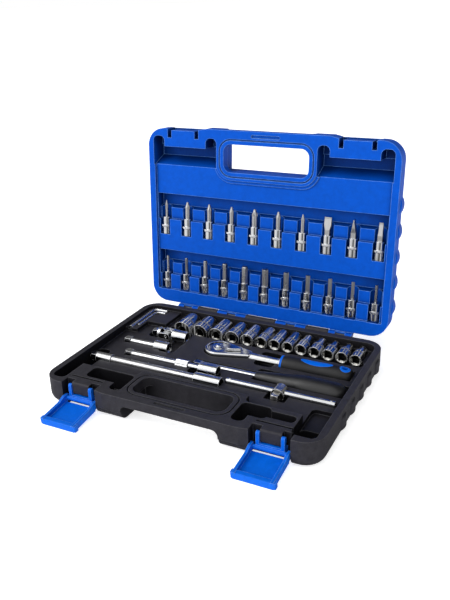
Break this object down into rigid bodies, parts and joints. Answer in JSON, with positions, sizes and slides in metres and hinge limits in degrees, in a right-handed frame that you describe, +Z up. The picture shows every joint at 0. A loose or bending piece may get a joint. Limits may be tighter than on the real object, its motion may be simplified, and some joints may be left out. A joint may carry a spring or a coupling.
{
  "type": "socket wrench set in case",
  "caption": "Hinged carrying case that stands open, with a ratchet, spinner, extensions, T-bar and sockets lying in its base and bit sockets held in its lid.",
  "frame": {"origin": "floor under the middle of the base, on its flat underside", "axes": "+X along the lid hinge to the right, +Y from the handle towards the hinge, +Z up"},
  "size_m": [0.268, 0.2609, 0.2147],
  "materials": {
    "base_plastic": "fine grained",
    "lid_plastic": "fine grained",
    "latch_plastic": "satin",
    "tool_chrome": "polished",
    "rod_steel": "drawn",
    "sleeve_steel": "satin",
    "key_steel": "bright",
    "grip_blue": "satin",
    "grip_rubber": "matt",
    "handle_plastic": "satin"
  },
  "bodies": {
    "base": {"base_shell": "base_plastic", "hinge_rod": "rod_steel", "latch_clip_left": "latch_plastic", "latch_clip_right": "latch_plastic"},
    "lid": {"lid_shell": "lid_plastic"},
    "flap_left": {"latch_flap_left": "latch_plastic"},
    "flap_right": {"latch_flap_right": "latch_plastic"},
    "socket_14mm": {"socket_14mm": "tool_chrome"},
    "socket_13mm": {"socket_13mm": "tool_chrome"},
    "socket_12mm": {"socket_12mm": "tool_chrome"},
    "socket_11mm": {"socket_11mm": "tool_chrome"},
    "socket_10mm": {"socket_10mm": "tool_chrome"},
    "socket_9mm": {"socket_9mm": "tool_chrome"},
    "socket_8mm": {"socket_8mm": "tool_chrome"},
    "socket_7mm": {"socket_7mm": "tool_chrome"},
    "socket_6mm": {"socket_6mm": "tool_chrome"},
    "socket_5_5mm": {"socket_5_5mm": "tool_chrome"},
    "socket_5mm": {"socket_5mm": "tool_chrome"},
    "socket_4_5mm": {"socket_4_5mm": "tool_chrome"},
    "socket_4mm": {"socket_4mm": "tool_chrome"},
    "ratchet": {"ratchet_body": "tool_chrome", "ratchet_cover": "tool_chrome", "grip_core": "grip_blue", "grip_sleeve": "grip_rubber"},
    "spinner": {"spinner_shaft": "tool_chrome", "spinner_handle": "handle_plastic"},
    "flex_bar": {"flex_ends": "tool_chrome", "flex_shaft": "sleeve_steel"},
    "extension_long": {"extension_long": "tool_chrome"},
    "extension_short": {"extension_short": "tool_chrome"},
    "universal_joint": {"joint_socket_yoke": "tool_chrome"},
    "tbar": {"tbar_rod": "tool_chrome"},
    "hex_keys": {"hex_keys": "key_steel"},
    "cross_bit_1": {"cross_bit_1": "tool_chrome"},
    "cross_bit_2": {"cross_bit_2": "tool_chrome"},
    "cross_bit_3": {"cross_bit_3": "tool_chrome"},
    "cross_bit_4": {"cross_bit_4": "tool_chrome"},
    "cross_bit_5": {"cross_bit_5": "tool_chrome"},
    "cross_bit_6": {"cross_bit_6": "tool_chrome"},
    "cross_bit_7": {"cross_bit_7": "tool_chrome"},
    "slotted_bit_7mm": {"slotted_bit_7mm": "tool_chrome"},
    "slotted_bit_5_5mm": {"slotted_bit_5_5mm": "tool_chrome"},
    "slotted_bit_4mm": {"slotted_bit_4mm": "tool_chrome"},
    "hex_bit_2_5mm": {"hex_bit_2_5mm": "tool_chrome"},
    "hex_bit_3mm": {"hex_bit_3mm": "tool_chrome"},
    "hex_bit_4mm": {"hex_bit_4mm": "tool_chrome"},
    "hex_bit_5mm": {"hex_bit_5mm": "tool_chrome"},
    "hex_bit_6mm": {"hex_bit_6mm": "tool_chrome"},
    "star_bit_40": {"star_bit_40": "tool_chrome"},
    "star_bit_30": {"star_bit_30": "tool_chrome"},
    "star_bit_25": {"star_bit_25": "tool_chrome"},
    "star_bit_20": {"star_bit_20": "tool_chrome"},
    "star_bit_15": {"star_bit_15": "tool_chrome"},
    "star_bit_10": {"star_bit_10": "tool_chrome"},
    "ratchet_drive": {"ratchet_drive": "tool_chrome"},
    "selector": {"selector_lever": "tool_chrome"},
    "button": {"release_button": "tool_chrome"},
    "joint_cross": {"joint_cross": "rod_steel"},
    "joint_drive": {"joint_drive_yoke": "tool_chrome"},
    "tbar_slider": {"tbar_slider": "tool_chrome"}
  },
  "joints": [
    {"name": "lid_hinge", "type": "hinge", "parent": "base", "child": "lid", "pos_m": [0, 0.0969, 0.0234], "axis": [-1, 0, 0], "range_deg": [-94, 0]},
    {"name": "flap_left_hinge", "type": "hinge", "parent": "base", "child": "flap_left", "pos_m": [-0.091, -0.0915, 0.009], "axis": [1, 0, 0], "range_deg": [-96.4, 25]},
    {"name": "flap_right_hinge", "type": "hinge", "parent": "base", "child": "flap_right", "pos_m": [0.091, -0.0915, 0.009], "axis": [1, 0, 0], "range_deg": [-96.4, 25]},
    {"name": "ratchet_lift", "type": "slide", "parent": "base", "child": "ratchet", "axis": [0, 0, 1], "range_m": [0, 0.03]},
    {"name": "ratchet_drive_spin", "type": "hinge", "parent": "ratchet", "child": "ratchet_drive", "pos_m": [-0.016, 0.0315, 0.0155], "axis": [0, 0, 1], "continuous": true},
    {"name": "selector_turn", "type": "hinge", "parent": "ratchet", "child": "selector", "pos_m": [-0.0025, 0.0315, 0.0155], "axis": [0, 0, 1], "range_deg": [-18, 18]},
    {"name": "release_press", "type": "slide", "parent": "ratchet_drive", "child": "button", "axis": [0, 0, 1], "range_m": [-0.0015, 0], "stiffness_N_per_m": 300},
    {"name": "universal_joint_lift", "type": "slide", "parent": "base", "child": "universal_joint", "axis": [0, 0, 1], "range_m": [0, 0.03]},
    {"name": "joint_yaw", "type": "hinge", "parent": "universal_joint", "child": "joint_cross", "pos_m": [-0.08, 0.042, 0.017], "axis": [0, 0, 1], "range_deg": [-14, 14]},
    {"name": "joint_pitch", "type": "hinge", "parent": "joint_cross", "child": "joint_drive", "pos_m": [-0.08, 0.042, 0.017], "axis": [0, 1, 0], "range_deg": [0, 35]},
    {"name": "tbar_lift", "type": "slide", "parent": "base", "child": "tbar", "axis": [0, 0, 1], "range_m": [0, 0.03]},
    {"name": "tbar_slide", "type": "slide", "parent": "tbar", "child": "tbar_slider", "axis": [1, 0, 0], "range_m": [-0.0035, 0.0035]},
    {"name": "socket_14mm_lift", "type": "slide", "parent": "base", "child": "socket_14mm", "axis": [0, 0, 1], "range_m": [0, 0.03]},
    {"name": "socket_13mm_lift", "type": "slide", "parent": "base", "child": "socket_13mm", "axis": [0, 0, 1], "range_m": [0, 0.03]},
    {"name": "socket_12mm_lift", "type": "slide", "parent": "base", "child": "socket_12mm", "axis": [0, 0, 1], "range_m": [0, 0.03]},
    {"name": "socket_11mm_lift", "type": "slide", "parent": "base", "child": "socket_11mm", "axis": [0, 0, 1], "range_m": [0, 0.03]},
    {"name": "socket_10mm_lift", "type": "slide", "parent": "base", "child": "socket_10mm", "axis": [0, 0, 1], "range_m": [0, 0.03]},
    {"name": "socket_9mm_lift", "type": "slide", "parent": "base", "child": "socket_9mm", "axis": [0, 0, 1], "range_m": [0, 0.03]},
    {"name": "socket_8mm_lift", "type": "slide", "parent": "base", "child": "socket_8mm", "axis": [0, 0, 1], "range_m": [0, 0.03]},
    {"name": "socket_7mm_lift", "type": "slide", "parent": "base", "child": "socket_7mm", "axis": [0, 0, 1], "range_m": [0, 0.03]},
    {"name": "socket_6mm_lift", "type": "slide", "parent": "base", "child": "socket_6mm", "axis": [0, 0, 1], "range_m": [0, 0.03]},
    {"name": "socket_5_5mm_lift", "type": "slide", "parent": "base", "child": "socket_5_5mm", "axis": [0, 0, 1], "range_m": [0, 0.03]},
    {"name": "socket_5mm_lift", "type": "slide", "parent": "base", "child": "socket_5mm", "axis": [0, 0, 1], "range_m": [0, 0.03]},
    {"name": "socket_4_5mm_lift", "type": "slide", "parent": "base", "child": "socket_4_5mm", "axis": [0, 0, 1], "range_m": [0, 0.03]},
    {"name": "socket_4mm_lift", "type": "slide", "parent": "base", "child": "socket_4mm", "axis": [0, 0, 1], "range_m": [0, 0.03]},
    {"name": "spinner_lift", "type": "slide", "parent": "base", "child": "spinner", "axis": [0, 0, 1], "range_m": [0, 0.03]},
    {"name": "flex_bar_lift", "type": "slide", "parent": "base", "child": "flex_bar", "axis": [0, 0, 1], "range_m": [0, 0.03]},
    {"name": "extension_long_lift", "type": "slide", "parent": "base", "child": "extension_long", "axis": [0, 0, 1], "range_m": [0, 0.03]},
    {"name": "extension_short_lift", "type": "slide", "parent": "base", "child": "extension_short", "axis": [0, 0, 1], "range_m": [0, 0.03]},
    {"name": "hex_keys_lift", "type": "slide", "parent": "base", "child": "hex_keys", "axis": [0, 0, 1], "range_m": [0, 0.03]},
    {"name": "cross_bit_1_pull", "type": "slide", "parent": "lid", "child": "cross_bit_1", "axis": [0, -0.9976, 0.0698], "range_m": [0, 0.0125]},
    {"name": "cross_bit_2_pull", "type": "slide", "parent": "lid", "child": "cross_bit_2", "axis": [0, -0.9976, 0.0698], "range_m": [0, 0.0125]},
    {"name": "cross_bit_3_pull", "type": "slide", "parent": "lid", "child": "cross_bit_3", "axis": [0, -0.9976, 0.0698], "range_m": [0, 0.0125]},
    {"name": "cross_bit_4_pull", "type": "slide", "parent": "lid", "child": "cross_bit_4", "axis": [0, -0.9976, 0.0698], "range_m": [0, 0.0125]},
    {"name": "cross_bit_5_pull", "type": "slide", "parent": "lid", "child": "cross_bit_5", "axis": [0, -0.9976, 0.0698], "range_m": [0, 0.0125]},
    {"name": "cross_bit_6_pull", "type": "slide", "parent": "lid", "child": "cross_bit_6", "axis": [0, -0.9976, 0.0698], "range_m": [0, 0.0125]},
    {"name": "cross_bit_7_pull", "type": "slide", "parent": "lid", "child": "cross_bit_7", "axis": [0, -0.9976, 0.0698], "range_m": [0, 0.0125]},
    {"name": "slotted_bit_7mm_pull", "type": "slide", "parent": "lid", "child": "slotted_bit_7mm", "axis": [0, -0.9976, 0.0698], "range_m": [0, 0.0125]},
    {"name": "slotted_bit_5_5mm_pull", "type": "slide", "parent": "lid", "child": "slotted_bit_5_5mm", "axis": [0, -0.9976, 0.0698], "range_m": [0, 0.0125]},
    {"name": "slotted_bit_4mm_pull", "type": "slide", "parent": "lid", "child": "slotted_bit_4mm", "axis": [0, -0.9976, 0.0698], "range_m": [0, 0.0125]},
    {"name": "hex_bit_2_5mm_pull", "type": "slide", "parent": "lid", "child": "hex_bit_2_5mm", "axis": [0, -0.9976, 0.0698], "range_m": [0, 0.0125]},
    {"name": "hex_bit_3mm_pull", "type": "slide", "parent": "lid", "child": "hex_bit_3mm", "axis": [0, -0.9976, 0.0698], "range_m": [0, 0.0125]},
    {"name": "hex_bit_4mm_pull", "type": "slide", "parent": "lid", "child": "hex_bit_4mm", "axis": [0, -0.9976, 0.0698], "range_m": [0, 0.0125]},
    {"name": "hex_bit_5mm_pull", "type": "slide", "parent": "lid", "child": "hex_bit_5mm", "axis": [0, -0.9976, 0.0698], "range_m": [0, 0.0125]},
    {"name": "hex_bit_6mm_pull", "type": "slide", "parent": "lid", "child": "hex_bit_6mm", "axis": [0, -0.9976, 0.0698], "range_m": [0, 0.0125]},
    {"name": "star_bit_40_pull", "type": "slide", "parent": "lid", "child": "star_bit_40", "axis": [0, -0.9976, 0.0698], "range_m": [0, 0.0125]},
    {"name": "star_bit_30_pull", "type": "slide", "parent": "lid", "child": "star_bit_30", "axis": [0, -0.9976, 0.0698], "range_m": [0, 0.0125]},
    {"name": "star_bit_25_pull", "type": "slide", "parent": "lid", "child": "star_bit_25", "axis": [0, -0.9976, 0.0698], "range_m": [0, 0.0125]},
    {"name": "star_bit_20_pull", "type": "slide", "parent": "lid", "child": "star_bit_20", "axis": [0, -0.9976, 0.0698], "range_m": [0, 0.0125]},
    {"name": "star_bit_15_pull", "type": "slide", "parent": "lid", "child": "star_bit_15", "axis": [0, -0.9976, 0.0698], "range_m": [0, 0.0125]},
    {"name": "star_bit_10_pull", "type": "slide", "parent": "lid", "child": "star_bit_10", "axis": [0, -0.9976, 0.0698], "range_m": [0, 0.0125]}
  ]
}
